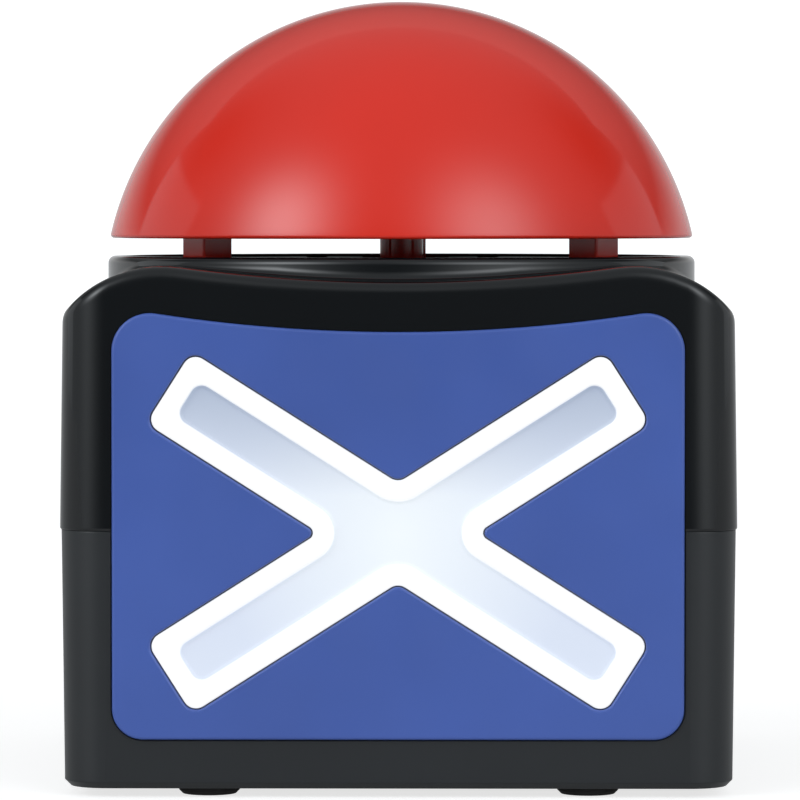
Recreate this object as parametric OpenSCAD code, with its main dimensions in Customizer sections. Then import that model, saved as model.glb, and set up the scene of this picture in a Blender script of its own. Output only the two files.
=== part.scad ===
// Quiz buzzer: a red press dome over a square housing whose front carries a lit X.
// +X is to the right, +Y to the back and +Z up; the origin is under the middle of the feet.

/* [Housing] */
// Width and depth of the housing at its seam
body_w = 110.7; // [110:0.1:111]
// Radius of the upright corners
corner_r = 8; // [7.5:0.1:8.5]
// Height of the seam between the two shells
seam_z = 43.4; // [43.2:0.1:43.8]
// Wall thickness of both shells
wall_t = 2.2; // [2:0.1:2.3]
// How far the feet stand out below the floor
foot_h = 1.5; // [1.2:0.1:1.6]
// Draft of the upper shell's sides, in degrees
upper_draft = 0.8; // [0.5:0.1:0.9]

/* [Roof] */
// Height of the crest of each shoulder
shoulder_z = 86.35; // [86:0.05:86.8]
// Distance of each crest from the middle
shoulder_x = 38.3; // [37.5:0.1:39]
// Radius of the shoulder curve
shoulder_r = 21; // [20.5:0.1:22]
// Height of the dip between the shoulders
dip_z = 83.9; // [83.6:0.05:84.2]
// Radius where the shoulder turns into the side
side_r = 3.4; // [3:0.1:3.8]
// Outer radius of the collar below the dome
collar_r = 50.4; // [50:0.1:50.8]
// Height of the collar's top
collar_z = 87.7; // [87.5:0.1:87.9]
// Height of the deck inside the collar
deck_z = 84.6; // [84.4:0.1:84.8]

/* [Dome] */
// Radius of the sphere that the dome is cut from
dome_r = 51.25; // [51.1:0.01:51.4]
// Height of the dome's crown
dome_top_z = 131.25; // [130.8:0.05:131.8]
// Height of the dome's rim at rest
rim_z = 90.75; // [90.7:0.05:91]
// Wall thickness of the dome
dome_t = 2; // [1.8:0.1:2.2]
// How far the dome travels when it is pressed
press_travel = 2.5; // [2:0.1:2.5]
// Distance of the three legs from the middle
leg_ring_r = 37.6; // [37:0.1:38]

/* [Front] */
// Half width of the front panel
panel_half_w = 46.4; // [46:0.1:46.6]
// Height of the panel's lower edge
panel_low_z = 9.6; // [9:0.1:10]
// Height of the middle of the panel's upper edge
panel_mid_z = 75.75; // [75:0.05:76]
// Radius of the panel's hollow upper edge
panel_arc_r = 260; // [250:5:270]
// How far the panel stands proud of the seam
panel_proud = 0.3; // [0.2:0.05:0.4]
// Angle of the arms of the X from level
x_angle = 32.4; // [32:0.1:33]
// Half length of an arm pair
x_half_l = 44; // [43.5:0.1:44.2]
// Half width of an arm
x_half_w = 6.9; // [6.7:0.1:7]
// Width of the border round the channel of the X
x_border = 3.4; // [3.2:0.1:3.6]

/* [Battery bay] */
// Diameter of a cell
cell_d = 14.2; // [14:0.1:14.4]
// Length of a cell with its nub
cell_l = 50.2; // [50:0.1:50.4]
// Distance between the cells' axes
cell_pitch = 15; // [14.8:0.1:15]

/* [Hidden] */
$fn = 64;

far = 200;                                 // longer than anything that it cuts
half_w = body_w / 2;
corner_c = half_w - corner_r;              // centre of an upright corner
lower_step = 0.25;                         // lower shell is this much smaller at the seam
lower_draft = 0.65;                        // draft of the lower shell, in degrees
floor_z = foot_h;                          // underside of the floor
floor_t = 2.4;
floor_top = floor_z + floor_t;
floor_chamfer = 1;
lip_t = 1.1;                               // lip of the lower shell, inside the upper one
lip_half = half_w - wall_t - 0.2;
lip_low_z = seam_z - 1.8;
lip_top_z = seam_z + 1.6;

// Roof: a shoulder circle each side, a hollow circle between, a small circle to the side
shoulder_c = [shoulder_x, shoulder_z - shoulder_r];
dip_q = dip_z - shoulder_c[1];
dip_r = (pow(shoulder_x, 2) + pow(dip_q, 2) - pow(shoulder_r, 2)) / (2 * (shoulder_r - dip_q));
dip_a = asin(shoulder_x / (dip_r + shoulder_r));
side_cx = upper_half(shoulder_c[1] + 12) - side_r;
side_cz = shoulder_c[1] + sqrt(pow(shoulder_r - side_r, 2) - pow(side_cx - shoulder_x, 2));
side_a = atan2(side_cz - shoulder_c[1], side_cx - shoulder_x);

// Collar and deck
collar_t = 2.8;
collar_inner_r = collar_r - collar_t;
deck_t = 2.4;
deck_low_z = deck_z - deck_t;
ceiling_a = asin((deck_low_z - shoulder_c[1]) / (shoulder_r - wall_t));
well_r = 4.4;                              // bore of the spring's well
well_wall = 2;
well_floor_z = 66.2;
well_floor_t = 2;

// Dome
dome_cz = dome_top_z - dome_r;
lip_r = 0.6;                               // rounding of the rim
post_r = 3.7;
post_end_z = 84.2;
pin_r = 2.2;
pressed_pin_z = 59.8;                      // pin end with the dome down, on the squeezed contact
pin_end_z = pressed_pin_z + press_travel;
leg_w = 7.9;                               // leg size round the ring
leg_t = 5.5;                               // leg size towards the middle
leg_gap = 0.3;
leg_end_z = deck_low_z - leg_gap;
leg_angles = [-30, 90, 210];
leg_screw_r = 1.2;
leg_screw_l = 8;
washer_t = 1;
washer_r = 5.5;
spring_wire_r = 0.4;
spring_r = 3.2;
spring_turns = 7;

// Front
panel_t = 2;
panel_face_y = -(half_w + panel_proud);
panel_back_y = panel_face_y + panel_t;
front_wall_t = 2;                          // shell wall left behind the panel
front_in_y = panel_back_y + front_wall_t;
pad_half_w = 48.2;
pad_top_z = 80.5;
pad_low_z = 6;
panel_gap = 0.15;
panel_low_r = 5;
panel_top_r = 6.2;
panel_top_cx = panel_half_w - panel_top_r;
panel_arc_cz = panel_mid_z + panel_arc_r;
panel_top_cz = panel_arc_cz - sqrt(pow(panel_arc_r + panel_top_r, 2) - pow(panel_top_cx, 2));
panel_top_a = atan2(panel_arc_cz - panel_top_cz, -panel_top_cx);
panel_pins = [[-44.2, 20], [44.2, 20], [-44.2, 67], [44.2, 67]];
pin_rivet_r = 1.5;
x_mid_z = 43.2;
x_corner_r = 2.2;
x_side_r = 1.1;                            // rounding in the notches left and right
x_top_r = 2.2;                             // rounding in the notches above and below
lens_sunk = 0.2;                           // lens face below the panel face
plate_half_w = 41.5;                       // base plate of the lens, behind the panel
plate_half_h = 30.2;
plate_r = 3;
plate_gap = 0.3;
channel_depth = 1;
box_half_w = 39.5;
box_half_h = 28.2;
box_wall = 1.6;
box_depth = 12.4;
box_back_y = front_in_y + box_depth;
board_t = 1.6;
box_ear_x = 26;
box_ear_z = x_mid_z + box_half_h + 3.4;
box_ear_r = 3.4;
box_ear_t = 2;
box_boss_l = 5;
led_xz = [[0, 0], [-20, 12.7], [20, 12.7], [-20, -12.7], [20, -12.7]];
led_screw_x = 35.3;
led_screw_z = 24;

// Housing screws
column_x = 45.5;
column_y = 43;
column_r = 4.3;
boss_r = 4;
screw_ledge_z = 33;
housing_screw_l = 20;

// Main board, hung below the deck
main_w = 62;
main_d = 50;
main_top_z = 56.5;
main_low_z = main_top_z - board_t;
standoff_x = 22;
standoff_y = 21;

// Battery bay and door
cell_r = cell_d / 2;
cell_z = floor_z + 2 + 0.7 + cell_r;
bay_half_x = 29;
bay_half_y = 22.9;
bay_wall = 1.6;
bay_roof_z = 18.9;
plate_t = 0.4;
door_half_x = 38;
door_half_y = 24.2;
door_t = 2;
door_gap = 0.3;
door_screw_x = 34;
door_screw_r = 1.5;
door_head_h = 1.4;
door_boss_top_z = 12.4;
bay_spring_turns = 3.5;
bay_spring_wire_r = 0.35;

// Speaker in the back wall
speaker_z = 23.3;
speaker_r = 18;
seat_y = 51.9;
bezel_y = -panel_face_y;
grille_rings = [[0, 1], [4, 6], [8, 12], [12, 18]];
grille_hole_r = 1;
clamp_x = 22;

// Power switch in the back wall
switch_x = 35.6;
switch_z = 23.3;
knob_travel = 4;
knob_w = 4.6;
knob_h = 4;
knob_foot = 0.6;                           // how far the knob's foot is wider, each side
switch_case_w = 12;
switch_case_h = 7.4;
switch_case_d = 4.6;
switch_wings = 16.8;
switch_screw_x = 7.2;
switch_front_y = 50.1;
knob_foot_y = 47.4;

// Feet
foot_x = 31;
foot_y = 46;
foot_r = 5;
foot_sunk = 1;

// Half width of the upper shell at a height
function upper_half(z) = half_w - (z - seam_z) * tan(upper_draft);

// Half width of the lower shell at a height
function lower_half(z) = half_w - lower_step - (seam_z - z) * tan(lower_draft);

// Points along an arc from one angle to another
function arc(c, r, a0, a1, n) =
    [for (i = [0:n]) c + r * [cos(a0 + (a1 - a0) * i / n), sin(a0 + (a1 - a0) * i / n)]];

// Points of a wire's ring, square to a helix that may narrow from one radius to another
function helix_ring(t, turns, height, r0, r1, wire, sides) =
    let (a = 360 * turns * t, r = r0 + (r1 - r0) * t)
    [for (k = [0:sides - 1])
        let (q = 360 * k / sides)
        [(r + wire * cos(q)) * cos(a), (r + wire * cos(q)) * sin(a), height * t + wire * sin(q)]];

// Coil spring standing on z = 0, with the height of its whole outside
module coil_spring(r0, r1, wire, height, turns, sides = 6, steps = 14) {
    n = ceil(turns * steps);
    path_h = height - 2 * wire;
    points = [for (i = [0:n]) each helix_ring(i / n, turns, path_h, r0, r1, wire, sides)];
    skin = [for (i = [0:n - 1]) for (k = [0:sides - 1])
        [i * sides + k, i * sides + (k + 1) % sides,
         (i + 1) * sides + (k + 1) % sides, (i + 1) * sides + k]];
    first = [for (k = [0:sides - 1]) sides - 1 - k];
    last = [for (k = [0:sides - 1]) n * sides + k];
    translate([0, 0, wire]) polyhedron(points, concat([first, last], skin), convexity = 10);
}

// Rounded square block that narrows from one height to another, its corner centres fixed
module drafted_block(z0, half0, z1, half1) {
    side = [[-half0, z0], [half0, z0], [half1, z1], [-half1, z1]];
    for (sx = [-1, 1]) for (sy = [-1, 1])
        translate([sx * corner_c, sy * corner_c, z0])
            cylinder(h = z1 - z0, r1 = half0 - corner_c, r2 = half1 - corner_c);
    rotate([90, 0, 0]) translate([0, 0, -corner_c]) linear_extrude(2 * corner_c) polygon(side);
    rotate([90, 0, 90]) translate([0, 0, -corner_c]) linear_extrude(2 * corner_c) polygon(side);
}

// Extrudes an outline drawn in X and Z from one Y to another
module along_y(y0, y1) {
    translate([0, y1, 0]) rotate([90, 0, 0]) linear_extrude(y1 - y0) children();
}

// Puts children on the four places at plus and minus x and y
module four(x, y) {
    for (sx = [-1, 1]) for (sy = [-1, 1]) translate([sx * x, sy * y, 0]) children();
}

// Pan-head screw with a cross recess: head below z = 0, shank above
module screw(r, length, head_r, head_h) {
    cross_w = head_r * 0.3;
    cross_l = head_r * 1.2;
    cross_d = head_h * 0.6;
    difference() {
        union() {
            translate([0, 0, -head_h]) cylinder(r1 = head_r * 0.8, r2 = head_r, h = head_h * 0.4);
            translate([0, 0, -head_h * 0.6]) cylinder(r = head_r, h = head_h * 0.6);
            cylinder(r = r, h = length - r);
            translate([0, 0, length - r]) cylinder(r1 = r, r2 = r * 0.3, h = r);
        }
        translate([-cross_l / 2, -cross_w / 2, -head_h - 1]) cube([cross_l, cross_w, cross_d + 1]);
        translate([-cross_w / 2, -cross_l / 2, -head_h - 1]) cube([cross_w, cross_l, cross_d + 1]);
    }
}

// Outline under the roof curve, brought in by a distance
module roof_outline(inset) {
    half = concat(
        [[half_w + 5, 0], [half_w + 5, side_cz]],
        arc([side_cx, side_cz], side_r - inset, 0, side_a, 5),
        arc(shoulder_c, shoulder_r - inset, side_a, 90 + dip_a, 14),
        arc([0, dip_z + dip_r], dip_r + inset, 270 + dip_a, 270, 8));
    mirrored = [for (i = [len(half) - 2:-1:0]) [-half[i][0], half[i][1]]];
    polygon(concat(half, mirrored));
}

// Outline of the hollow below the roof: round at the shoulders, flat under the deck
module ceiling_outline() {
    half = concat(
        [[half_w + 5, 0], [half_w + 5, side_cz]],
        arc([side_cx, side_cz], side_r - wall_t, 0, side_a, 3),
        arc(shoulder_c, shoulder_r - wall_t, side_a, ceiling_a, 6));
    mirrored = [for (i = [len(half) - 1:-1:0]) [-half[i][0], half[i][1]]];
    polygon(concat(half, mirrored));
}

// Outline of the front panel, grown by a distance
module panel_outline(grow) {
    top_c = [panel_top_cx, panel_top_cz];
    low_c = [panel_half_w - panel_low_r, panel_low_z + panel_low_r];
    tip = top_c + (panel_top_r + grow) * [cos(panel_top_a), sin(panel_top_a)];
    edge_x = panel_half_w + grow;
    difference() {
        for (m = [0, 1]) mirror([m, 0]) {
            translate(top_c) circle(panel_top_r + grow);
            translate(low_c) circle(panel_low_r + grow);
            polygon([[0, panel_low_z - grow], [low_c[0], panel_low_z - grow], [edge_x, low_c[1]],
                     [edge_x, top_c[1]], tip, [0, tip[1]]]);
        }
        translate([0, panel_arc_cz]) circle(panel_arc_r - grow, $fn = 360);
    }
}

// Bar with round corners, centred
module rounded_bar(half_l, half_h, r) {
    square([2 * half_l, 2 * (half_h - r)], center = true);
    square([2 * (half_l - r), 2 * half_h], center = true);
    for (sx = [-1, 1]) for (sy = [-1, 1])
        translate([sx * (half_l - r), sy * (half_h - r)]) circle(r, $fn = 32);
}

// Round filling of a notch that opens along +X, its corner at a distance from the middle
module notch_fill(corner, half_angle, r) {
    c = corner + r / sin(half_angle);
    t = r / tan(half_angle);
    difference() {
        polygon([[corner - 0.5, 0], [corner, 0] + t * [cos(half_angle), -sin(half_angle)], [c, 0],
                 [corner, 0] + t * [cos(half_angle), sin(half_angle)]]);
        translate([c, 0]) circle(r, $fn = 32);
    }
}

// The X, centred on the origin, with its notches rounded
module x_outline(half_l, half_h, r, side_notch_r, top_notch_r) {
    for (a = [-x_angle, x_angle]) rotate(a) rounded_bar(half_l, half_h, r);
    for (a = [0, 180]) rotate(a) notch_fill(half_h / sin(x_angle), x_angle, side_notch_r);
    for (a = [90, 270]) rotate(a) notch_fill(half_h / cos(x_angle), 90 - x_angle, top_notch_r);
}

// Outline of the whole X lens, grown by a distance, at its height on the front
module lens_outline(grow) {
    translate([0, x_mid_z])
        x_outline(x_half_l + grow, x_half_w + grow, x_corner_r + grow, x_side_r - grow, x_top_r - grow);
}

// Outline of the lens's base plate, which fills a window in the shells, grown by a distance
module lens_plate_outline(grow) {
    translate([0, x_mid_z]) rounded_bar(plate_half_w + grow, plate_half_h + grow, plate_r + grow);
}

// Outline of the sunk channel in the lens
module channel_outline() {
    translate([0, x_mid_z])
        x_outline(x_half_l - x_border, x_half_w - x_border, 2, x_side_r + x_border, x_top_r + x_border);
}

// Cut-outs that both shells have in their front wall
module front_cuts() {
    along_y(-half_w - 5, panel_back_y) panel_outline(panel_gap);
    along_y(panel_back_y - 1, front_in_y + 1) lens_plate_outline(plate_gap);
    for (p = panel_pins)
        translate([p[0], 0, p[1]]) rotate([90, 0, 0]) cylinder(r = pin_rivet_r + 0.1, h = far);
}

// Puts children, drawn with +Z outward, on the back wall at a place and depth
module on_back(x, y, z) {
    translate([x, y, z]) rotate([-90, 0, 0]) children();
}

// Puts children, drawn with +Z backward into the housing, at a place on the front
module on_front(x, y, z) {
    translate([x, y, z]) rotate([-90, 0, 0]) children();
}

// Section of the dome's wall: a cut sphere with a rounded rim
module dome_section() {
    rim_out = sqrt(pow(dome_r, 2) - pow(rim_z + lip_r - dome_cz, 2));
    rim_in = sqrt(pow(dome_r - dome_t, 2) - pow(rim_z + lip_r - dome_cz, 2));
    intersection() {
        translate([0, dome_cz]) difference() {
            circle(dome_r, $fn = 180);
            circle(dome_r - dome_t, $fn = 180);
        }
        translate([0, rim_z + lip_r]) square([far, far]);
    }
    translate([rim_in + lip_r, rim_z]) square([rim_out - rim_in - 2 * lip_r, 2 * lip_r]);
    for (x = [rim_in + lip_r, rim_out - lip_r])
        translate([x, rim_z + lip_r]) circle(lip_r, $fn = 32);
}

module dome_button() {
    color("#cc2b20") {
        rotate_extrude($fn = 180) dome_section();
        // Centre post and the pin that reaches the switch
        difference() {
            translate([0, 0, post_end_z]) cylinder(r = post_r, h = dome_top_z - dome_t / 2 - post_end_z);
            translate([0, 0, dome_top_z - 1.5]) cylinder(r = far, h = far);
        }
        translate([0, 0, pin_end_z]) cylinder(r = pin_r, h = post_end_z - pin_end_z + 1);
        // Three legs, each bored for its screw
        for (a = leg_angles) rotate(a) difference() {
            intersection() {
                translate([leg_ring_r - leg_t / 2, -leg_w / 2, leg_end_z]) cube([leg_t, leg_w, 40]);
                translate([0, 0, dome_cz]) sphere(dome_r - dome_t / 2, $fn = 180);
            }
            translate([leg_ring_r, 0, leg_end_z - 1]) cylinder(r = leg_screw_r + 0.05, h = leg_screw_l + 2);
        }
    }
}

module leg_screws() {
    color("silver") for (a = leg_angles) rotate(a)
        translate([leg_ring_r, 0, leg_end_z - washer_t]) screw(leg_screw_r, leg_screw_l, 2.4, 1.6);
}

module leg_washers() {
    color("lightgray") for (a = leg_angles) rotate(a)
        translate([leg_ring_r, 0, leg_end_z - washer_t]) difference() {
            cylinder(r = washer_r, h = washer_t);
            translate([0, 0, -1]) cylinder(r = leg_screw_r + 0.1, h = washer_t + 2);
        }
}

module return_spring() {
    color("silver") translate([0, 0, well_floor_z])
        coil_spring(spring_r, spring_r, spring_wire_r, post_end_z - well_floor_z - 0.1, spring_turns);
}

module contact_dome() {
    top = pin_end_z - 0.3 - main_top_z;
    color("gainsboro") translate([0, 0, main_top_z]) rotate_extrude()
        polygon([[0, 2.6], [2.2, 2.6], [3.6, 1], [4.2, 0], [6.5, 0], [6.5, 1], [5, 1], [3.2, top - 1.6],
                 [3.2, top - 0.4], [2.8, top], [0, top]]);
}

// Half section of the collar as a solid disc, deep enough to stand in the roof
module collar_section() {
    out_r = 1.2;
    low_z = deck_low_z - 8;
    translate([0, low_z]) square([collar_r, collar_z - out_r - low_z]);
    translate([0, low_z]) square([collar_r - out_r, collar_z - low_z]);
    translate([collar_r - out_r, collar_z - out_r]) circle(out_r, $fn = 32);
}

module upper_shell() {
    z1 = collar_z + 2;
    ceiling = [upper_half(seam_z) - wall_t, upper_half(z1) - wall_t];
    color("#1b1d20") difference() {
        union() {
            difference() {
                union() {
                    intersection() {
                        drafted_block(seam_z, upper_half(seam_z), z1, upper_half(z1));
                        along_y(-far, far) roof_outline(0);
                    }
                    rotate_extrude($fn = 180) collar_section();
                }
                intersection() {
                    drafted_block(seam_z - 0.01, ceiling[0], z1, ceiling[1]);
                    along_y(-far, far) ceiling_outline();
                }
            }
            // Thick front wall that backs the panel
            translate([-pad_half_w, panel_back_y - 1, seam_z])
                cube([2 * pad_half_w, front_in_y - panel_back_y + 1, pad_top_z - seam_z]);
            // Well of the return spring
            translate([0, 0, well_floor_z - well_floor_t])
                cylinder(r = well_r + well_wall, h = deck_low_z - well_floor_z + well_floor_t + 0.5);
            // Screw bosses in the corners
            four(column_x, column_y) translate([0, 0, seam_z + 0.2]) cylinder(r = boss_r, h = 40);
            // Standoffs of the main board
            four(standoff_x, standoff_y) translate([0, 0, main_top_z])
                cylinder(r = 3, h = deck_low_z - main_top_z + 0.5);
            // Bosses of the light box
            for (s = [-1, 1]) on_front(s * box_ear_x, front_in_y - 0.5, box_ear_z)
                cylinder(r = 3, h = box_boss_l + 0.5);
        }
        // Inside of the collar, with the openings in the deck
        translate([0, 0, deck_z]) cylinder(r = collar_inner_r, h = 20, $fn = 180);
        translate([0, 0, collar_z - 0.5])
            cylinder(r1 = collar_inner_r, r2 = collar_inner_r + 1, h = 1, $fn = 180);
        translate([0, 0, well_floor_z]) cylinder(r = well_r, h = 30);
        cylinder(r = pin_r + 0.4, h = far);
        for (a = leg_angles) rotate(a)
            translate([leg_ring_r - leg_t / 2 - leg_gap, -leg_w / 2 - leg_gap, deck_low_z - 1])
                cube([leg_t + 2 * leg_gap, leg_w + 2 * leg_gap, deck_t + 2]);
        front_cuts();
        // Screw holes
        four(column_x, column_y) translate([0, 0, seam_z - 1]) cylinder(r = 1.55, h = 13);
        four(standoff_x, standoff_y) translate([0, 0, main_top_z - 1]) cylinder(r = 1.05, h = 9);
        for (s = [-1, 1]) on_front(s * box_ear_x, front_in_y + 0.2, box_ear_z)
            cylinder(r = 1.05, h = box_boss_l + 1);
    }
}

// Opening for the cells, the seat of the door and the bores below the columns
module floor_cuts() {
    translate([-bay_half_x, -bay_half_y, floor_z - 1])
        cube([2 * bay_half_x, 2 * bay_half_y, bay_roof_z - floor_z + 1]);
    translate([-door_half_x - door_gap, -door_half_y - door_gap, floor_z - 1])
        cube([2 * (door_half_x + door_gap), 2 * (door_half_y + door_gap), door_t + 1.05]);
    for (s = [-1, 1]) translate([s * door_screw_x, 0, floor_z])
        cylinder(r = door_screw_r + 0.06, h = door_boss_top_z - floor_z - 0.6);
    four(column_x, column_y) {
        translate([0, 0, floor_z - 1]) cylinder(r = 3.3, h = screw_ledge_z - floor_z + 1);
        cylinder(r = 1.65, h = far);
    }
    four(foot_x, foot_y) translate([0, 0, floor_z - 1]) cylinder(r = foot_r + 0.1, h = foot_sunk + 1);
}

// Sound holes in rings, through the back wall
module grille_holes() {
    for (ring = grille_rings) for (i = [0:ring[1] - 1]) {
        a = 360 * i / ring[1];
        on_back(ring[0] * cos(a), seat_y - 2, speaker_z + ring[0] * sin(a))
            cylinder(r = grille_hole_r, h = 8, $fn = 24);
    }
}

module lower_shell() {
    z1 = floor_z + floor_chamfer;
    block_x = door_half_x + door_gap + 1.6;
    block_y = door_half_y + door_gap + 0.6;
    color("#35393d") difference() {
        union() {
            difference() {
                union() {
                    drafted_block(z1, lower_half(z1), seam_z, lower_half(seam_z));
                    drafted_block(floor_z, lower_half(z1) - floor_chamfer, z1, lower_half(z1));
                }
                drafted_block(floor_top, lower_half(floor_top) - wall_t, seam_z + 0.01,
                              lower_half(seam_z) - wall_t);
            }
            // Lip that the upper shell sits round, on the sides and back
            intersection() {
                difference() {
                    union() {
                        drafted_block(lip_low_z, half_w - 3.6, lip_low_z + 1.2, half_w - 1.4);
                        drafted_block(lip_low_z + 1, half_w - 1.5, seam_z, half_w - 1.5);
                        drafted_block(seam_z - 1, lip_half, lip_top_z, lip_half - 0.05);
                    }
                    drafted_block(lip_low_z - 1, lip_half - lip_t, lip_top_z + 1, lip_half - lip_t);
                }
                translate([-far, -corner_c - 0.5, 0]) cube([2 * far, 2 * far, far]);
            }
            // Thick front wall that backs the panel
            translate([-pad_half_w, panel_back_y - 0.5, pad_low_z])
                cube([2 * pad_half_w, front_in_y - panel_back_y + 0.5, seam_z - pad_low_z]);
            // Bay walls and roof, and the thick floor round the door
            translate([-bay_half_x - bay_wall, -bay_half_y - bay_wall, floor_z + 1])
                cube([2 * (bay_half_x + bay_wall), 2 * (bay_half_y + bay_wall),
                      bay_roof_z + bay_wall - floor_z - 1]);
            translate([-block_x, -block_y, floor_z + 0.5])
                cube([2 * block_x, 2 * block_y, floor_t + 1.1]);
            for (s = [-1, 1]) translate([s * door_screw_x, 0, floor_z + 1])
                cylinder(r = 3.7, h = door_boss_top_z - floor_z - 1);
            four(column_x, column_y) translate([0, 0, floor_z + 0.5])
                cylinder(r = column_r, h = seam_z - floor_z - 0.7);
            // Speaker seat, its ring and screw bosses
            on_back(0, seat_y, speaker_z) cylinder(r = speaker_r + 1.4, h = 1.8, $fn = 96);
            on_back(0, seat_y - 1.2, speaker_z) difference() {
                cylinder(r = speaker_r + 1.4, h = 2, $fn = 96);
                translate([0, 0, -1]) cylinder(r = speaker_r + 0.15, h = 5, $fn = 96);
            }
            for (s = [-1, 1]) on_back(s * clamp_x, seat_y - 1.4, speaker_z) cylinder(r = 2.7, h = 3);
            // Raised ring round the grille
            on_back(0, seat_y + 1, speaker_z) difference() {
                cylinder(r = 17, h = bezel_y - seat_y - 1, $fn = 96);
                translate([0, 0, -1]) cylinder(r = 14.6, h = 9, $fn = 96);
            }
            // Bosses of the power switch
            for (s = [-1, 1]) on_back(switch_x + s * switch_screw_x, switch_front_y + 0.05, switch_z)
                cylinder(r = 1.7, h = 3);
        }
        floor_cuts();
        front_cuts();
        grille_holes();
        for (s = [-1, 1]) {
            on_back(s * clamp_x, seat_y - 2, speaker_z) cylinder(r = 1.05, h = 4);
            on_back(switch_x + s * switch_screw_x, switch_front_y - 1, switch_z)
                cylinder(r = 0.85, h = 3.6);
        }
        // Finger recess and slot of the power switch
        on_back(switch_x, 53.7, switch_z) linear_extrude(5) rounded_bar(7.5, 4, 2);
        on_back(switch_x, 50, switch_z) linear_extrude(8)
            square([knob_w + knob_travel + 0.6, knob_h + 0.6], center = true);
    }
}

module front_panel() {
    color("#3f55a5") {
        difference() {
            along_y(panel_face_y, panel_back_y) panel_outline(0);
            along_y(panel_face_y - 1, panel_back_y + 1) lens_outline(0.15);
        }
        // Rivet pins, spread behind the shells' wall
        for (p = panel_pins) on_front(p[0], panel_back_y - 0.5, p[1]) {
            cylinder(r = pin_rivet_r, h = front_wall_t + 1);
            translate([0, 0, front_wall_t + 0.55]) cylinder(r1 = 2.5, r2 = 1.9, h = 1);
        }
    }
}

module x_lens() {
    color("#eef1f8") difference() {
        union() {
            along_y(panel_face_y + lens_sunk, panel_back_y + 0.2) lens_outline(0);
            along_y(panel_back_y + 0.05, front_in_y - 0.05) lens_plate_outline(0);
        }
        along_y(panel_face_y - 1, panel_face_y + lens_sunk + channel_depth) channel_outline();
    }
}

module light_box() {
    y0 = front_in_y + 0.05;
    color("white") difference() {
        union() {
            translate([-box_half_w, y0, x_mid_z - box_half_h])
                cube([2 * box_half_w, box_back_y - y0, 2 * box_half_h]);
            for (s = [-1, 1]) translate([s * box_ear_x, 0, 0]) {
                on_front(0, front_in_y + box_boss_l + 0.05, box_ear_z) cylinder(r = box_ear_r, h = box_ear_t);
                translate([-box_ear_r, front_in_y + box_boss_l + 0.05, x_mid_z + box_half_h - 1])
                    cube([2 * box_ear_r, box_ear_t, box_ear_z - x_mid_z - box_half_h + 1]);
            }
        }
        difference() {
            translate([-box_half_w + box_wall, y0 - 1, x_mid_z - box_half_h + box_wall])
                cube([2 * (box_half_w - box_wall), far, 2 * (box_half_h - box_wall)]);
            for (sx = [-1, 1]) for (sz = [-1, 1])
                on_front(sx * led_screw_x, y0 + 3, x_mid_z + sz * led_screw_z) cylinder(r = 2.9, h = far);
        }
        for (sx = [-1, 1]) for (sz = [-1, 1])
            on_front(sx * led_screw_x, box_back_y - 6, x_mid_z + sz * led_screw_z) cylinder(r = 0.85, h = far);
        for (s = [-1, 1]) on_front(s * box_ear_x, front_in_y, box_ear_z) cylinder(r = 1.15, h = far);
    }
}

// Screws driven towards the front: heads at a depth, shanks forward
module front_screws(places, y, r, length, head_r, head_h) {
    for (p = places) translate([p[0], y, p[1]]) rotate([90, 0, 0]) screw(r, length, head_r, head_h);
}

module light_box_screws() {
    y = front_in_y + box_boss_l + box_ear_t + 0.1;
    color("silver") front_screws([for (s = [-1, 1]) [s * box_ear_x, box_ear_z]], y, 1, 6, 1.9, 1.3);
}

module led_board() {
    half = [box_half_w - 0.2, box_half_h - 0.2];
    color("#1f6b3a") difference() {
        translate([-half[0], box_back_y + 0.05, x_mid_z - half[1]]) cube([2 * half[0], board_t, 2 * half[1]]);
        for (sx = [-1, 1]) for (sz = [-1, 1])
            on_front(sx * led_screw_x, box_back_y - 1, x_mid_z + sz * led_screw_z) cylinder(r = 1, h = 5);
    }
}

module leds() {
    color("#f4f6ff") for (p = led_xz)
        translate([p[0], box_back_y, x_mid_z + p[1]]) rotate([90, 0, 0]) {
            cylinder(r = 2.9, h = 1, $fn = 32);
            cylinder(r = 2.5, h = 5.4, $fn = 32);
            translate([0, 0, 5.4]) sphere(2.5, $fn = 32);
        }
}

module led_board_screws() {
    places = [for (sx = [-1, 1]) for (sz = [-1, 1]) [sx * led_screw_x, x_mid_z + sz * led_screw_z]];
    color("silver") front_screws(places, box_back_y + board_t + 0.1, 0.8, 6, 1.6, 1);
}

module main_board() {
    color("#1f6b3a") difference() {
        translate([-main_w / 2, -main_d / 2, main_low_z]) cube([main_w, main_d, board_t - 0.05]);
        four(standoff_x, standoff_y) translate([0, 0, main_low_z - 1]) cylinder(r = 1.15, h = 5);
    }
}

module board_chip() {
    color("black") translate([0, 4, main_low_z - 0.05]) mirror([0, 0, 1]) intersection() {
        cylinder(r = 6, h = 1.8);
        translate([0, 0, -9.2]) sphere(11, $fn = 64);
    }
}

module board_capacitor() {
    color("navy") translate([-14, -10, main_low_z - 0.05]) mirror([0, 0, 1]) {
        cylinder(r = 3.1, h = 8.6);
        cylinder(r = 2.9, h = 9);
    }
}

module board_resistors() {
    color("tan") for (i = [0:3]) translate([10 + 4 * i, -14, main_low_z - 1.65]) cube([2, 5, 1.6]);
}

module board_screws() {
    color("silver") four(standoff_x, standoff_y) translate([0, 0, main_low_z - 0.05])
        screw(1, 8, 1.9, 1.3);
}

module speaker_frame() {
    color("dimgray") on_back(0, seat_y - 0.05, speaker_z) rotate_extrude($fn = 96)
        polygon([[16, 0], [18, 0], [18, -1.3], [16.8, -1.3], [10.3, -6.6], [10.3, -8.2], [4, -8.2],
                 [4, -7.4], [9.5, -7.4], [9.5, -6.2], [16, -0.8]]);
}

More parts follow.
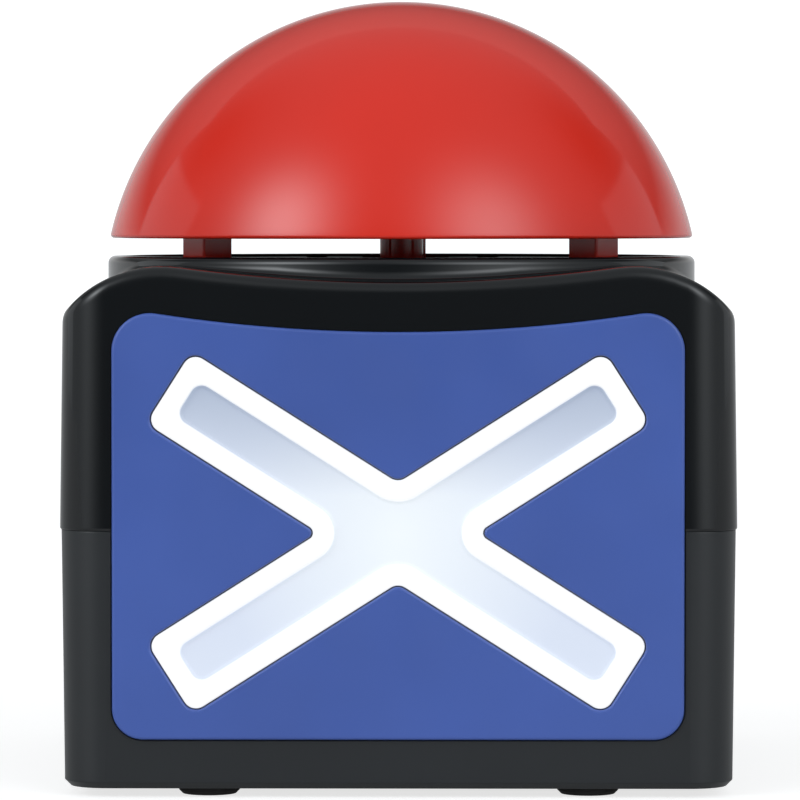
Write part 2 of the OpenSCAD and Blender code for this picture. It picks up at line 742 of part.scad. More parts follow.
module speaker_cone() {
    color("#222222") on_back(0, seat_y - 0.05, speaker_z) rotate_extrude($fn = 96)
        polygon([[15.9, 0], [15.9, -0.5], [14.6, -0.9], [7.5, -5.2], [0, -5.2], [0, -2.6], [3, -3],
                 [6.2, -4.2], [7.2, -4.6], [14.4, -0.3]]);
}

module speaker_magnet() {
    color("silver") on_back(0, seat_y - 8.3, speaker_z) mirror([0, 0, 1]) {
        cylinder(r = 8.4, h = 1.2);
        cylinder(r = 10, h = 4.6);
    }
}

module speaker_screws() {
    color("silver") for (s = [-1, 1]) on_back(s * clamp_x, seat_y - 2.3, speaker_z)
        screw(1, 4, 1.9, 1.3);
}

module speaker_washers() {
    color("lightgray") for (s = [-1, 1]) on_back(s * clamp_x, seat_y - 2.25, speaker_z) difference() {
        cylinder(r = 4.5, h = 0.8);
        translate([0, 0, -1]) cylinder(r = 1.1, h = 3);
    }
}

module switch_case() {
    w = switch_case_w;
    h = switch_case_h;
    slot_w = knob_w + 2 * knob_foot + knob_travel + 0.6;
    slot_h = knob_h + 0.6;
    color("#26282b") on_back(switch_x, switch_front_y - switch_case_d, switch_z) difference() {
        union() {
            translate([-w / 2, -h / 2, 0]) cube([w, h, switch_case_d]);
            translate([-switch_wings / 2, -h / 2, switch_case_d - 1]) cube([switch_wings, h, 1]);
        }
        translate([-slot_w / 2, -slot_h / 2, 1.2]) cube([slot_w, slot_h, 9]);
        for (s = [-1, 1]) translate([s * switch_screw_x, 0, switch_case_d - 2]) cylinder(r = 0.9, h = 3);
    }
}

module switch_clamp_screws() {
    color("silver") for (s = [-1, 1]) on_back(switch_x + s * switch_screw_x, switch_front_y - 1.05, switch_z)
        screw(0.8, 3.4, 1.1, 0.8);
}

module power_knob() {
    color("#101113") on_back(switch_x - knob_travel / 2, knob_foot_y, switch_z) {
        translate([-knob_w / 2 - knob_foot, -knob_h / 2, 0]) cube([knob_w + 2 * knob_foot, knob_h, 2.2]);
        translate([-knob_w / 2, -knob_h / 2, 2]) cube([knob_w, knob_h, 5]);
        for (i = [-1, 0, 1]) translate([i * 1.5 - 0.4, -knob_h / 2, 6.9]) cube([0.8, knob_h, 0.5]);
    }
}

// One cell along +X, its nub at the far end
module cell() {
    rotate([0, 90, 0]) {
        cylinder(r = cell_r, h = cell_l - 1.2);
        translate([0, 0, cell_l - 1.3]) cylinder(r = 2.6, h = 1.3);
    }
}

// Puts each cell's place with its nub end at +X of the frame it is given
module cell_places() {
    for (i = [-1, 0, 1]) translate([0, i * cell_pitch, cell_z]) mirror([i == 0 ? 1 : 0, 0, 0]) children();
}

module battery_cells() {
    color("#2f7d4f") cell_places()
        translate([bay_half_x - plate_t - 0.15 - cell_l, 0, 0]) cell();
}

module battery_plates() {
    color("silver") cell_places() for (x = [bay_half_x - plate_t - 0.05, -bay_half_x + 0.05])
        translate([x, -5, -5]) cube([plate_t, 10, 10]);
}

module battery_springs() {
    x0 = -bay_half_x + plate_t + 0.1;
    x1 = bay_half_x - plate_t - 0.2 - cell_l;
    color("silver") cell_places() translate([x0, 0, 0]) rotate([0, 90, 0])
        coil_spring(4.2, 2.6, bay_spring_wire_r, x1 - x0, bay_spring_turns, 5, 12);
}

module battery_door() {
    color("#35393d") difference() {
        union() {
            translate([-door_half_x, -door_half_y, floor_z])
                cube([2 * door_half_x, 2 * door_half_y, door_t]);
            // Ribs that steady the cells
            for (x = [-16, 0, 16]) for (y = [-0.5, 0.5])
                translate([x - 0.6, y * cell_pitch - 1.2, floor_z + door_t - 0.1]) cube([1.2, 2.4, 1.4]);
        }
        for (s = [-1, 1]) translate([s * door_screw_x, 0, floor_z]) {
            translate([0, 0, -1]) cylinder(r = 3.1, h = door_head_h + 1.1);
            cylinder(r = door_screw_r + 0.2, h = 5);
        }
        // Finger notch
        translate([0, -door_half_y - 1, floor_z - 1]) cylinder(r = 5, h = 1.8);
    }
}

module door_screw() {
    translate([0, 0, floor_z + door_head_h + 0.05]) screw(door_screw_r, 8, 2.8, door_head_h);
}

module door_screw_left() {
    color("silver") translate([-door_screw_x, 0, 0]) door_screw();
}

module door_screw_right() {
    color("silver") translate([door_screw_x, 0, 0]) door_screw();
}

module housing_screws() {
    color("silver") four(column_x, column_y) translate([0, 0, screw_ledge_z - 0.05])
        screw(1.5, housing_screw_l, 2.9, 2);
}

module rubber_feet() {
    color("#151515") four(foot_x, foot_y) {
        cylinder(r1 = foot_r - 0.6, r2 = foot_r, h = 0.6);
        translate([0, 0, 0.6]) cylinder(r = foot_r, h = foot_h + foot_sunk - 0.65);
    }
}

dome_button();
leg_screws();
leg_washers();
return_spring();
contact_dome();
upper_shell();
lower_shell();
front_panel();
x_lens();
light_box();
light_box_screws();
led_board();
leds();
led_board_screws();
main_board();
board_chip();
board_capacitor();
board_resistors();
board_screws();
speaker_frame();
speaker_cone();
speaker_magnet();
speaker_screws();
speaker_washers();
switch_case();
switch_clamp_screws();
power_knob();
battery_cells();
battery_plates();
battery_springs();
battery_door();
door_screw_left();
door_screw_right();
housing_screws();
rubber_feet();
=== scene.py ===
import math

import bmesh
import bpy
import numpy as np
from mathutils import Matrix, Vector
from mathutils.geometry import tessellate_polygon


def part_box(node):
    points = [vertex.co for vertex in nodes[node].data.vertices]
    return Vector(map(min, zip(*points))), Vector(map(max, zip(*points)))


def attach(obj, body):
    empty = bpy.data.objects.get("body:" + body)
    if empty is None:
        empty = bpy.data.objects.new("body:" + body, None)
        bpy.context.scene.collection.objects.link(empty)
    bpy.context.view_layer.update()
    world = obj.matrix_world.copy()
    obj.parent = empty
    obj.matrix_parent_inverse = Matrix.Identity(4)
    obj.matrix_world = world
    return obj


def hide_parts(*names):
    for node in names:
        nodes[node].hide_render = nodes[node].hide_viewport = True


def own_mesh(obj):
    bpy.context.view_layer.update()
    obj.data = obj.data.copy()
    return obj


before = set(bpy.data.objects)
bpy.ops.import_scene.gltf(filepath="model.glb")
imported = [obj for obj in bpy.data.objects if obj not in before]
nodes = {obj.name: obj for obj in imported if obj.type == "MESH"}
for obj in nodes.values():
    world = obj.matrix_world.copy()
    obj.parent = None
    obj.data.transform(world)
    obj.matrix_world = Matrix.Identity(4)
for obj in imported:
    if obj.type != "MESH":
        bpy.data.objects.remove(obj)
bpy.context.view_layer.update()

MM = 0.001
TINY = 1e-9


def box_mm(node):
    """Lowest and highest corner of a CAD node, in millimetres."""
    lo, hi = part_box(node)
    return lo / MM, hi / MM


# ---------------------------------------------------------------- sizes, in millimetres
UPPER_LO, UPPER_HI = box_mm("upper_shell")
DOME_LO, DOME_HI = box_mm("dome_button")
PANEL_LO, _ = box_mm("front_panel")
LENS_LO, LENS_HI = box_mm("x_lens")

# the upper shell's walls
SEAM_Z = UPPER_LO.z
HALF_W = UPPER_HI.x
CORNER_R = 8.0
CORNER_C = HALF_W - CORNER_R    # the corners' centres, from the axis
WALL_T = 2.2
UPPER_DRAFT = math.tan(math.radians(0.8))
EDGE_R = 1.8                    # rounding of the roof's front and back edges
SHARP_R = 0.02                  # rounding where an edge is left sharp
SEAM_R = 0.3

# its roof: two shoulders with a dip between them
SHOULDER_X = 38.3
SHOULDER_R = 21.0
SHOULDER_Z = 86.35
SHOULDER_CZ = SHOULDER_Z - SHOULDER_R
SIDE_R = 3.4                    # where a shoulder turns down into the side wall
SIDE_RISE = 12.0                # where the wall is measured for it, above the shoulders' centres
DIP_Z = 83.9

# the collar, the deck inside it and the spring's well
COLLAR_TOP = UPPER_HI.z
COLLAR_R = 50.4
COLLAR_IN_R = 47.6
COLLAR_ROUND = 1.2
COLLAR_IN_ROUND = 0.5
COLLAR_FOOT_R = 1.6
DECK_Z = 84.6
DECK_LOW_Z = 82.2
DECK_ROUND = 0.4
WELL_R = 4.4
WELL_FLOOR_Z = 66.2
WELL_WALL = 2.0

# the front panel
PANEL_FACE_Y = PANEL_LO.y
PANEL_BACK_Y = PANEL_FACE_Y + 2.0
FRONT_IN_Y = PANEL_BACK_Y + 2.0
PANEL_HALF_W = 46.4
PANEL_LOW_Z = PANEL_LO.z
PANEL_MID_Z = 75.75             # the lowest point of its hollow top edge
PANEL_ARC_R = 260.0
PANEL_LOW_R = 5.0
PANEL_TOP_R = 6.2
PANEL_GAP = 0.15
PANEL_ROUND = 0.5
RIVET_X, RIVET_ZS, RIVET_R = 44.2, (20.0, 67.0), 1.5

# the X, its channel and its base plate
X_MID_Z = 43.2
X_ANGLE = 32.4
X_HALF_L = 44.0
X_HALF_W = 6.9
X_CORNER_R = 2.2
X_SIDE_R = 1.1
X_TOP_R = 2.2
X_BORDER = 3.4
X_GAP = 0.2                     # the panel's opening stands this far from it
X_SHY = 0.05                    # and its own outline is this much smaller
CHANNEL_DEPTH = 1.0
CHANNEL_CORNER_R = 2.0
PLATE_HALF_W = 41.5
PLATE_HALF_H = 30.2
PLATE_R = 3.0
PLATE_GAP = 0.3

# the dome, its legs, its post and its pin
DOME_R = 51.25
DOME_T = 2.0
DOME_TOP = DOME_HI.z
DOME_CZ = DOME_TOP - DOME_R
RIM_Z = 90.75
RIM_R = 0.6
LEG_RING_R = 37.6
LEG_W = 7.9
LEG_T = 5.5
LEG_END_Z = 81.9
LEG_GAP = 0.3
LEG_ANGLES = (-30.0, 90.0, 210.0)
LEG_BORE_R = 1.25
LEG_BORE_DEPTH = 9
SLOT_H = 12
POST_R = 3.7
POST_END_Z = 84.2
POST_TOP_Z = DOME_TOP - 1.2     # within the dome's wall
PIN_R = 2.2
PIN_END_Z = DOME_LO.z
PIN_GAP = 0.4
TIP_CHAMFER = 0.3

# what the dome presses
BOARD_TOP_Z = 56.5
CONTACT_TOP_Z = PIN_END_Z - 0.3
PRESS = 2.5                     # travel of the dome
CONTACT_PRESS = 2.25            # what the contact gives, as the pin starts above it

EDGE_STEPS = 5                  # faces round a small rounded edge
SHELL_SMOOTH, FRONT_SMOOTH, ROUND_SMOOTH = 40, 50, 60    # edges stay sharp above these angles


# ---------------------------------------------------------------- outlines and meshes
def arc(cx, cy, r, a0, a1, n):
    """Points of an arc between two angles in degrees, both ends included."""
    angles = [math.radians(a0 + (a1 - a0) * i / n) for i in range(n + 1)]
    return [(cx + r * math.cos(a), cy + r * math.sin(a)) for a in angles]


def panel_outline(grow):
    """The front panel's outline in X and Z, grown by a distance, anticlockwise from its lowest middle."""
    arc_cz = PANEL_MID_Z + PANEL_ARC_R
    top_cx = PANEL_HALF_W - PANEL_TOP_R
    top_cz = arc_cz - math.sqrt((PANEL_ARC_R + PANEL_TOP_R) ** 2 - top_cx ** 2)
    top_a = math.degrees(math.atan2(arc_cz - top_cz, -top_cx))
    low_c = (PANEL_HALF_W - PANEL_LOW_R, PANEL_LOW_Z + PANEL_LOW_R)
    half = [(x, PANEL_LOW_Z - grow) for x in np.linspace(0, low_c[0], 8)[:-1]]
    half += arc(*low_c, PANEL_LOW_R + grow, -90, 0, 14)
    half += [(PANEL_HALF_W + grow, z) for z in np.linspace(low_c[1], top_cz, 10)[1:-1]]
    half += arc(top_cx, top_cz, PANEL_TOP_R + grow, 0, top_a, 20)
    half += arc(0, arc_cz, PANEL_ARC_R - grow, 180 + top_a, 270, 24)[1:]
    return half + [(-x, z) for x, z in reversed(half[1:-1])]


def x_outline(grow):
    """The outline of the X in X and Z, grown by a distance."""
    return x_ring(X_HALF_L + grow, X_HALF_W + grow, X_CORNER_R + grow, X_SIDE_R - grow, X_TOP_R - grow)


def channel_outline(grow):
    """The outline of the channel in the X, grown by a distance."""
    return x_ring(
        X_HALF_L - X_BORDER + grow, X_HALF_W - X_BORDER + grow, CHANNEL_CORNER_R + grow,
        X_SIDE_R + X_BORDER - grow, X_TOP_R + X_BORDER - grow,
    )


def x_ring(half_l, half_w, corner_r, side_r, top_r):
    """An X of two crossed bars with round corners and round notches, anticlockwise."""
    arms = [X_ANGLE, 180 - X_ANGLE, 180 + X_ANGLE, 360 - X_ANGLE]
    points = []
    for i, a in enumerate(arms):
        u = Vector((math.cos(math.radians(a)), math.sin(math.radians(a))))
        v = Vector((-u.y, u.x))
        for side in (-1, 1):
            c = u * (half_l - corner_r) + v * side * (half_w - corner_r)
            start = a - 90 if side < 0 else a
            points += arc(c.x, c.y, corner_r, start, start + 90, 8)
        b = arms[i + 1] if i < 3 else arms[0] + 360
        r = top_r if i % 2 == 0 else side_r
        reach = (half_w + r) / math.sin(math.radians((b - a) / 2))
        middle = math.radians((a + b) / 2)
        points += arc(reach * math.cos(middle), reach * math.sin(middle), r, a - 90, b - 270, 10)
    return [(x, z + X_MID_Z) for x, z in points]


def bar_outline(half_w, half_h, r):
    """A rectangle with round corners round the middle of the X."""
    points = []
    for a, sx, sz in ((0, 1, 1), (90, -1, 1), (180, -1, -1), (270, 1, -1)):
        points += arc(sx * (half_w - r), sz * (half_h - r) + X_MID_Z, r, a, a + 90, 8)
    return points


def quarter_round():
    """Shares of a radius that a rounded edge has come in by and still stands back by, from side to face."""
    turns = [math.pi / 2 * i / EDGE_STEPS for i in range(EDGE_STEPS + 1)]
    return [(1 - math.cos(t), 1 - math.sin(t)) for t in turns]


class Solid:
    """A mesh put together from rings of points and flat caps, in millimetres."""

    def __init__(self):
        self.bm = bmesh.new()

    def ring(self, points):
        """A closed loop of new points."""
        return [self.bm.verts.new(Vector(p) * MM) for p in points]

    def join(self, a, b):
        """Faces between two rings with as many points."""
        n = len(a)
        for i in range(n):
            self.bm.faces.new([a[i], a[(i + 1) % n], b[(i + 1) % n], b[i]])

    def skin(self, rings):
        """Rings through lists of points, each joined to the next."""
        made = [self.ring(r) for r in rings]
        for a, b in zip(made, made[1:]):
            self.join(a, b)
        return made

    def cap(self, outer, holes=()):
        """A flat face over a ring, with other rings cut out."""
        loops = [outer, *holes]
        verts = [v for loop in loops for v in loop]
        for tri in tessellate_polygon([[v.co for v in loop] for loop in loops]):
            self.bm.faces.new([verts[i] for i in tri])

    def fan(self, ring, point):
        """Faces from a ring to one point."""
        tip = self.bm.verts.new(Vector(point) * MM)
        for i in range(len(ring)):
            self.bm.faces.new([ring[i], ring[(i + 1) % len(ring)], tip])

    def object(self, name, smooth_angle=35):
        """The finished mesh as an object with smooth shading."""
        bmesh.ops.remove_doubles(self.bm, verts=self.bm.verts, dist=1e-8)
        bmesh.ops.recalc_face_normals(self.bm, faces=self.bm.faces)
        mesh = bpy.data.meshes.new(name)
        self.bm.to_mesh(mesh)
        self.bm.free()
        made = bpy.data.objects.new(name, mesh)
        bpy.context.scene.collection.objects.link(made)
        shade(made, smooth_angle)
        return made


def shade(obj, angle):
    """Smooth shading, sharp above an angle."""
    mesh = obj.data
    for p in mesh.polygons:
        p.use_smooth = True
    mesh.set_sharp_from_angle(angle=math.radians(angle))


def weigh(obj):
    """Flat faces keep flat shading beside their rounded edges."""
    modifier = obj.modifiers.new("weighted", "WEIGHTED_NORMAL")
    modifier.keep_sharp = True
    modifier.weight = 90


def bake(obj):
    """Applies every modifier of an object."""
    graph = bpy.context.evaluated_depsgraph_get()
    mesh = bpy.data.meshes.new_from_object(obj.evaluated_get(graph))
    obj.modifiers.clear()
    old = obj.data
    obj.data = mesh
    mesh.name = obj.name
    bpy.data.meshes.remove(old)


def cut(obj, tools, operation="DIFFERENCE"):
    """Cuts each tool from an object, or joins it, and removes the tool."""
    for tool in tools:
        modifier = obj.modifiers.new("cut", "BOOLEAN")
        modifier.operation = operation
        modifier.solver = "EXACT"
        modifier.object = tool
        bpy.context.view_layer.update()
        bake(obj)
        bpy.data.objects.remove(tool)


def at_y(outline, y):
    """An outline in X and Z, as points at one Y."""
    return [(x, y, z) for x, z in outline]


def prism_y(outline, y0, y1):
    """A prism along Y over an outline in X and Z."""
    s = Solid()
    a, b = s.skin([at_y(outline, y0), at_y(outline, y1)])
    s.cap(a)
    s.cap(b)
    return s.object("tool")


def turned(profile, segments, name="tool", centre=(0, 0)):
    """A lathe of (radius, z) points round an upright axis; a radius of zero closes it."""
    s = Solid()
    rings = []
    for r, z in profile:
        if r < TINY:
            rings.append(None)
            continue
        rings.append(s.ring([
            (centre[0] + r * math.cos(2 * math.pi * i / segments),
             centre[1] + r * math.sin(2 * math.pi * i / segments), z)
            for i in range(segments)
        ]))
    for i in range(len(profile) - 1):
        a, b = rings[i], rings[i + 1]
        if a is None:
            s.fan(b, (centre[0], centre[1], profile[i][1]))
        elif b is None:
            s.fan(a, (centre[0], centre[1], profile[i + 1][1]))
        else:
            s.join(a, b)
    return s.object(name)


def pillar(r, low, high, segments, centre=(0, 0)):
    """A round tool between two heights."""
    return turned([(0, low), (r, low), (r, high), (0, high)], segments, centre=centre)


def block(centre, size, turn=0.0, bevel=0.0):
    """A box with rounded edges, turned about Z."""
    bm = bmesh.new()
    bmesh.ops.create_cube(bm, size=1.0)
    for v in bm.verts:
        v.co = Vector((v.co.x * size[0], v.co.y * size[1], v.co.z * size[2])) * MM
    if bevel:
        bmesh.ops.bevel(bm, geom=bm.edges[:], offset=bevel * MM, segments=3, profile=0.5, affect="EDGES")
    c, s = math.cos(math.radians(turn)), math.sin(math.radians(turn))
    for v in bm.verts:
        x, y = v.co.x + centre[0] * MM, v.co.y + centre[1] * MM
        v.co = Vector((x * c - y * s, x * s + y * c, v.co.z + centre[2] * MM))
    mesh = bpy.data.meshes.new("tool")
    bm.to_mesh(mesh)
    bm.free()
    made = bpy.data.objects.new("tool", mesh)
    bpy.context.scene.collection.objects.link(made)
    return made


# ---------------------------------------------------------------- the upper shell's surface
DIP_Q = DIP_Z - SHOULDER_CZ
DIP_R = (SHOULDER_X ** 2 + DIP_Q ** 2 - SHOULDER_R ** 2) / (2 * (SHOULDER_R - DIP_Q))
DIP_A = math.asin(SHOULDER_X / (DIP_R + SHOULDER_R))
SIDE_CX = HALF_W - (SHOULDER_CZ + SIDE_RISE - SEAM_Z) * UPPER_DRAFT - SIDE_R
SIDE_CZ = SHOULDER_CZ + math.sqrt((SHOULDER_R - SIDE_R) ** 2 - (SIDE_CX - SHOULDER_X) ** 2)
SIDE_A = math.atan2(SIDE_CZ - SHOULDER_CZ, SIDE_CX - SHOULDER_X)

# rays that find the surface: level ones start near the axis, upright ones start under the roof
CORE_R, WALL_REACH = 20.0, 80.0
ROOF_RAY_Z, ROOF_LIMIT_Z = 60.0, 90.0
HOLLOW_RAY_R, HOLLOW_RAY_Z = 36.0, 62.0


def roof_distance(x, z):
    """Distance above the roof's curve, negative inside, for arrays of X and Z."""
    x = np.abs(x)
    dip_cz = DIP_Z + DIP_R
    dip = DIP_R - np.hypot(x, z - dip_cz)
    shoulder = np.hypot(x - SHOULDER_X, z - SHOULDER_CZ) - SHOULDER_R
    side = np.hypot(x - SIDE_CX, z - SIDE_CZ) - SIDE_R
    # below the curve the drafted wall is the limit
    below = x - HALF_W + (z - SEAM_Z) * UPPER_DRAFT - SHARP_R
    in_dip = np.arctan2(x, dip_cz - z) < DIP_A
    in_side = np.arctan2(z - SHOULDER_CZ, x - SHOULDER_X) < SIDE_A
    side = np.where(z < SIDE_CZ, below, side)
    return np.where(in_dip, dip, np.where(in_side, side, shoulder))


def wall_distance(x, y, z):
    """Distance outside the drafted walls, and how squarely they face the front or back."""
    qx, qy = np.abs(x) - CORNER_C, np.abs(y) - CORNER_C
    half = HALF_W - (z - SEAM_Z) * UPPER_DRAFT - CORNER_C
    corner = np.hypot(np.maximum(qx, 0), np.maximum(qy, 0))
    inside = np.minimum(np.maximum(qx, qy), 0)
    facing = np.where(corner > TINY, np.maximum(qy, 0) / np.maximum(corner, TINY), (qy > qx) * 1.0)
    return corner + inside - half, facing


def outer_distance(x, y, z):
    """Distance outside the upper shell, its roof's edges rounded where they are sharp."""
    wall, facing = wall_distance(x, y, z)
    roof = roof_distance(x, z)
    r = SHARP_R + EDGE_R * facing ** 1.5
    both = np.hypot(np.maximum(wall + r, 0), np.maximum(roof + r, 0)) - r
    return np.where((wall > -r) & (roof > -r), both, np.maximum(wall, roof))


def inner_distance(x, y, z):
    """Distance outside the hollow of the upper shell."""
    wall, _ = wall_distance(x, y, z)
    hollow = np.maximum(wall + WALL_T, roof_distance(x, z) + WALL_T)
    hollow = np.maximum(hollow, z - DECK_LOW_Z)
    return np.maximum(hollow, FRONT_IN_Y - y)


def cast(surface, angle, rho, z, tilt, reach=60.0):
    """Where rays in upright planes through the axis leave a surface: (radius, height) arrays."""
    low, high = np.zeros_like(rho), np.full_like(rho, reach)
    for _ in range(44):
        mid = (low + high) / 2
        r = rho + mid * np.cos(tilt)
        h = z + mid * np.sin(tilt)
        out = surface(r * np.cos(angle), r * np.sin(angle), h) > 0
        high = np.where(out, mid, high)
        low = np.where(out, low, mid)
    return rho + low * np.cos(tilt), z + low * np.sin(tilt)


def plan_angles(straight, corner):
    """Angles of points along a rounded square: its straights and its corners are stepped apart."""
    points = []
    for side in range(4):
        run = [(HALF_W, y) for y in np.linspace(-CORNER_C, CORNER_C, straight + 1)]
        run += arc(CORNER_C, CORNER_C, CORNER_R, 0, 90, corner)[1:-1]
        turn = math.radians(90 * side)
        points += [math.atan2(y, x) + turn for x, y in run]
    return np.array(points)


def roof_edge(angle):
    """Radius and height of the sharp edge of wall and roof, in the plane at each angle."""
    def walls(x, y, z):
        return wall_distance(x, y, z)[0]

    one = np.ones_like(angle)
    low, high = one * SEAM_Z, one * ROOF_LIMIT_Z
    for _ in range(40):
        mid = (low + high) / 2
        rho, _z = cast(walls, angle, one * CORE_R, mid, one * 0.0, WALL_REACH)
        above = roof_distance(rho * np.cos(angle), mid) > 0
        high, low = np.where(above, mid, high), np.where(above, low, mid)
    return rho, low


def collar_fillet(angle, start):
    """Radius of the fillet at the collar's foot, which shrinks where the roof leaves it little room."""
    one = np.ones_like(angle)
    free_top = COLLAR_TOP - COLLAR_ROUND - 0.05
    fillet = one * 0.5
    # where its foot lands on the roof depends on its radius, so the two are found in turns
    for _ in range(3):
        _rho, foot_z = cast(outer_distance, angle, COLLAR_R + fillet, one * ROOF_RAY_Z, one * math.pi / 2)
        room = np.minimum((free_top - foot_z) * 0.9, (start - COLLAR_R) * 0.8)
        fillet = np.clip(room, 0.1, COLLAR_FOOT_R)
    return fillet


def outside_rows(angle):
    """The shell's outside as rows of (radius, height) arrays, from the seam up to the middle of the deck."""
    one = np.ones_like(angle)
    level, upright = one * 0.0, one * math.pi / 2
    edge_rho, edge_z = roof_edge(angle)
    # the rays of the rounded edge start this far in and down from it
    step = np.minimum(5.0, (edge_rho - COLLAR_R - 0.5) * 0.6)
    start = edge_rho - step
    rows = []
    # seam face and outer wall
    seam = ((SEAM_Z, SEAM_R), (SEAM_Z + 0.1, 0.1), (SEAM_Z + SEAM_R, 0.0), (SEAM_Z + 0.5, 0.0))
    for z, inset in seam:
        rho, h = cast(outer_distance, angle, one * CORE_R, one * z, level, WALL_REACH)
        rows.append((rho - inset, h))
    for share in (0.1, 0.3, 0.5, 0.7, 0.85, 0.95):
        z = SEAM_Z + (edge_z - step - SEAM_Z) * share
        rows.append(cast(outer_distance, angle, one * CORE_R, z, level, WALL_REACH))
    # rounded edge
    for tilt in np.linspace(0, math.pi / 2, 23):
        rows.append(cast(outer_distance, angle, start, edge_z - step, one * tilt))
    # roof up to the collar's foot
    fillet = collar_fillet(angle, start)
    for share in (0.3, 0.6, 0.85, 1.0):
        rho = start + (COLLAR_R + fillet - start) * share
        rows.append(cast(outer_distance, angle, rho, one * ROOF_RAY_Z, upright))
    foot_z = rows[-1][1]
    for turn in np.radians([255, 240, 225, 210, 195, 180]):
        rows.append((COLLAR_R + fillet * (1 + math.cos(turn)), foot_z + fillet * (1 + math.sin(turn))))
    # collar, its rounded top, and the deck
    flat = [(COLLAR_R, COLLAR_TOP - COLLAR_ROUND)]
    flat += arc(COLLAR_R - COLLAR_ROUND, COLLAR_TOP - COLLAR_ROUND, COLLAR_ROUND, 0, 90, 8)[1:]
    flat += arc(COLLAR_IN_R + COLLAR_IN_ROUND, COLLAR_TOP - COLLAR_IN_ROUND, COLLAR_IN_ROUND, 90, 180, 5)
    flat += [(COLLAR_IN_R, DECK_Z + DECK_ROUND)]
    flat += arc(COLLAR_IN_R - DECK_ROUND, DECK_Z + DECK_ROUND, DECK_ROUND, 0, -90, 4)[1:]
    flat += [(r, DECK_Z) for r in (40.0, 30.0, 20.0, 10.0)]
    return rows + [(one * r, one * z) for r, z in flat]


def inside_rows(angle):
    """The shell's hollow in the same way, from the middle of the ceiling back down to the seam."""
    one = np.ones_like(angle)
    rows = [
        cast(inner_distance, angle, one * HOLLOW_RAY_R, one * HOLLOW_RAY_Z, one * tilt)
        for tilt in np.linspace(math.pi / 2, 0.0, 14)
    ]
    return rows + [cast(inner_distance, angle, one * CORE_R, one * SEAM_Z, one * 0.0, WALL_REACH)]


def upper_housing():
    """The glossy upper shell: one closed mesh swept round the axis, then cut for the panel and the legs."""
    angle = plan_angles(44, 16)
    across, along = np.cos(angle), np.sin(angle)
    s = Solid()
    outside, inside = [
        s.skin([[(r * a, r * b, z) for r, z, a, b in zip(rho, h, across, along)] for rho, h in rows])
        for rows in (outside_rows(angle), inside_rows(angle))
    ]
    s.join(inside[-1], outside[0])
    s.fan(outside[-1], (0, 0, DECK_Z))
    s.fan(inside[0], (0, 0, DECK_LOW_Z))
    shell = s.object("upper_housing", SHELL_SMOOTH)

    cut(shell, [pillar(WELL_R + WELL_WALL, WELL_FLOOR_Z - 2, DECK_LOW_Z + 1, 64)], "UNION")
    tools = [
        prism_y(panel_outline(PANEL_GAP), PANEL_FACE_Y - 3, PANEL_BACK_Y),
        prism_y(
            bar_outline(PLATE_HALF_W + PLATE_GAP, PLATE_HALF_H + PLATE_GAP, PLATE_R + PLATE_GAP),
            PANEL_BACK_Y - 1, FRONT_IN_Y + 2,
        ),
        pillar(WELL_R, WELL_FLOOR_Z, DECK_Z + 5, 64),
        pillar(PIN_R + PIN_GAP, 50, 90, 48),
    ]
    slot = (LEG_T + 2 * LEG_GAP, LEG_W + 2 * LEG_GAP, SLOT_H)
    tools += [block((LEG_RING_R, 0, DECK_Z), slot, a) for a in LEG_ANGLES]
    cut(shell, tools)
    shade(shell, SHELL_SMOOTH)
    return shell


# ---------------------------------------------------------------- the dome
def dome():
    """The red dome: a cut ball with a rounded rim, its legs, post and pin, in one moulding."""
    outer_r, inner_r = DOME_R, DOME_R - DOME_T
    low = RIM_Z + RIM_R
    a_out = math.degrees(math.asin((low - DOME_CZ) / outer_r))
    a_in = math.degrees(math.asin((low - DOME_CZ) / inner_r))
    rim_out = outer_r * math.cos(math.radians(a_out))
    rim_in = inner_r * math.cos(math.radians(a_in))
    profile = arc(0, DOME_CZ, outer_r, 90, a_out, 64)
    profile[0] = (0.0, DOME_TOP)
    profile += arc(rim_out - RIM_R, low, RIM_R, 0, -90, 6)[1:]
    profile += arc(rim_in + RIM_R, low, RIM_R, -90, -180, 6)
    profile += arc(0, DOME_CZ, inner_r, a_in, 90, 40)[1:]
    profile[-1] = (0.0, DOME_CZ + inner_r)
    shell = turned(profile, 192, "dome_cap")
    post = [(0, PIN_END_Z), (PIN_R - TIP_CHAMFER, PIN_END_Z), (PIN_R, PIN_END_Z + TIP_CHAMFER)]
    post += [(PIN_R, POST_END_Z), (POST_R - TIP_CHAMFER, POST_END_Z), (POST_R, POST_END_Z + TIP_CHAMFER)]
    post += [(POST_R, POST_TOP_Z), (0, POST_TOP_Z)]
    parts = [turned(post, 48)]
    middle_r, far_x, far_y = DOME_R - DOME_T / 2, LEG_RING_R + LEG_T / 2, LEG_W / 2
    leg_top = DOME_CZ + math.sqrt(middle_r ** 2 - far_x ** 2 - far_y ** 2)    # within the dome's wall
    height = leg_top - LEG_END_Z
    for a in LEG_ANGLES:
        leg = block((LEG_RING_R, 0, LEG_END_Z + height / 2), (LEG_T, LEG_W, height), a, 0.5)
        middle = (LEG_RING_R * math.cos(math.radians(a)), LEG_RING_R * math.sin(math.radians(a)))
        cut(leg, [pillar(LEG_BORE_R, LEG_END_Z - 1, LEG_END_Z + LEG_BORE_DEPTH, 24, middle)])
        parts.append(leg)
    cut(shell, parts, "UNION")
    shade(shell, SHELL_SMOOTH)
    return shell


